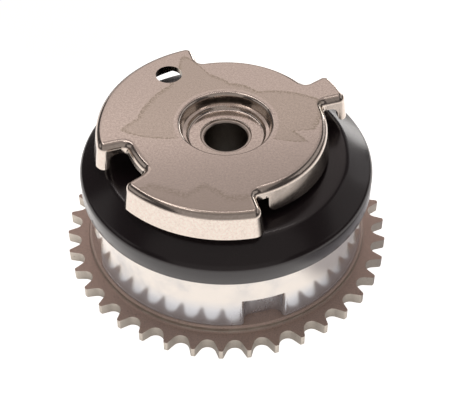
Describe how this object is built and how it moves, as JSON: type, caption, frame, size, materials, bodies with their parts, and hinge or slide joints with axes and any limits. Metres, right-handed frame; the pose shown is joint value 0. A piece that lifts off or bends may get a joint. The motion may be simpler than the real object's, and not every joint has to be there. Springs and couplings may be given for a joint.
{
  "type": "cam phaser",
  "caption": "Hydraulic vane-type cam phaser: a chain sprocket and vane housing that turns a camshaft earlier or later, with a spring cover and a dished trigger wheel for a sensor.",
  "frame": {"origin": "Centre of the sprocket's flat back face, which faces the engine, on the turning axis.", "axes": "+Z runs along the turning axis to the front, at the trigger wheel. +X and +Y lie in the sprocket's back face. The square pocket in the stator is at -75 degrees from +X."},
  "size_m": [0.1, 0.1, 0.0487],
  "materials": {
    "sintered_steel": "brown sintered steel, lightly oiled",
    "cast_aluminium": "bright turned and die-cast aluminium",
    "rotor_steel": "sintered steel with ground faces",
    "black_coating": "satin black coating on pressed steel",
    "trigger_steel": "stamped steel with a faint brown film of oil",
    "hardened_steel": "hardened and ground steel",
    "spring_steel": "drawn spring steel",
    "seal_polymer": "dark sliding plastic"
  },
  "bodies": {
    "housing": {"sprocket": "sintered_steel", "lock_pin_bush": "hardened_steel", "stator_housing": "cast_aluminium", "front_plate": "hardened_steel", "clamp_screws": "hardened_steel", "spring_anchor_pin": "hardened_steel", "bias_spring": "spring_steel", "spring_cover": "black_coating", "web_seal_1": "seal_polymer", "web_seal_spring_1": "spring_steel", "web_seal_2": "seal_polymer", "web_seal_spring_2": "spring_steel", "web_seal_3": "seal_polymer", "web_seal_spring_3": "spring_steel", "web_seal_4": "seal_polymer", "web_seal_spring_4": "spring_steel"},
    "rotor": {"vane_rotor": "rotor_steel", "hub_bush": "hardened_steel", "trigger_wheel": "trigger_steel", "lock_pin_cap": "hardened_steel", "lock_pin_spring": "spring_steel", "vane_seal_1": "seal_polymer", "vane_seal_spring_1": "spring_steel", "vane_seal_2": "seal_polymer", "vane_seal_spring_2": "spring_steel", "vane_seal_3": "seal_polymer", "vane_seal_spring_3": "spring_steel", "vane_seal_4": "seal_polymer", "vane_seal_spring_4": "spring_steel"},
    "lock_pin": {"lock_pin": "hardened_steel"}
  },
  "joints": [
    {"name": "rotor_turn", "type": "hinge", "parent": "housing", "child": "rotor", "pos_m": [0, 0, 0.02], "axis": [0, 0, 1], "range_deg": [0, 25], "stiffness_Nm_per_rad": 0.4, "springref_deg": -114.59, "deforming": ["bias_spring"]},
    {"name": "lock_pin_slide", "type": "slide", "parent": "rotor", "child": "lock_pin", "axis": [0, 0, 1], "range_m": [0, 0.0015], "stiffness_N_per_m": 150, "springref_m": -0.02, "deforming": ["lock_pin_spring"]}
  ]
}
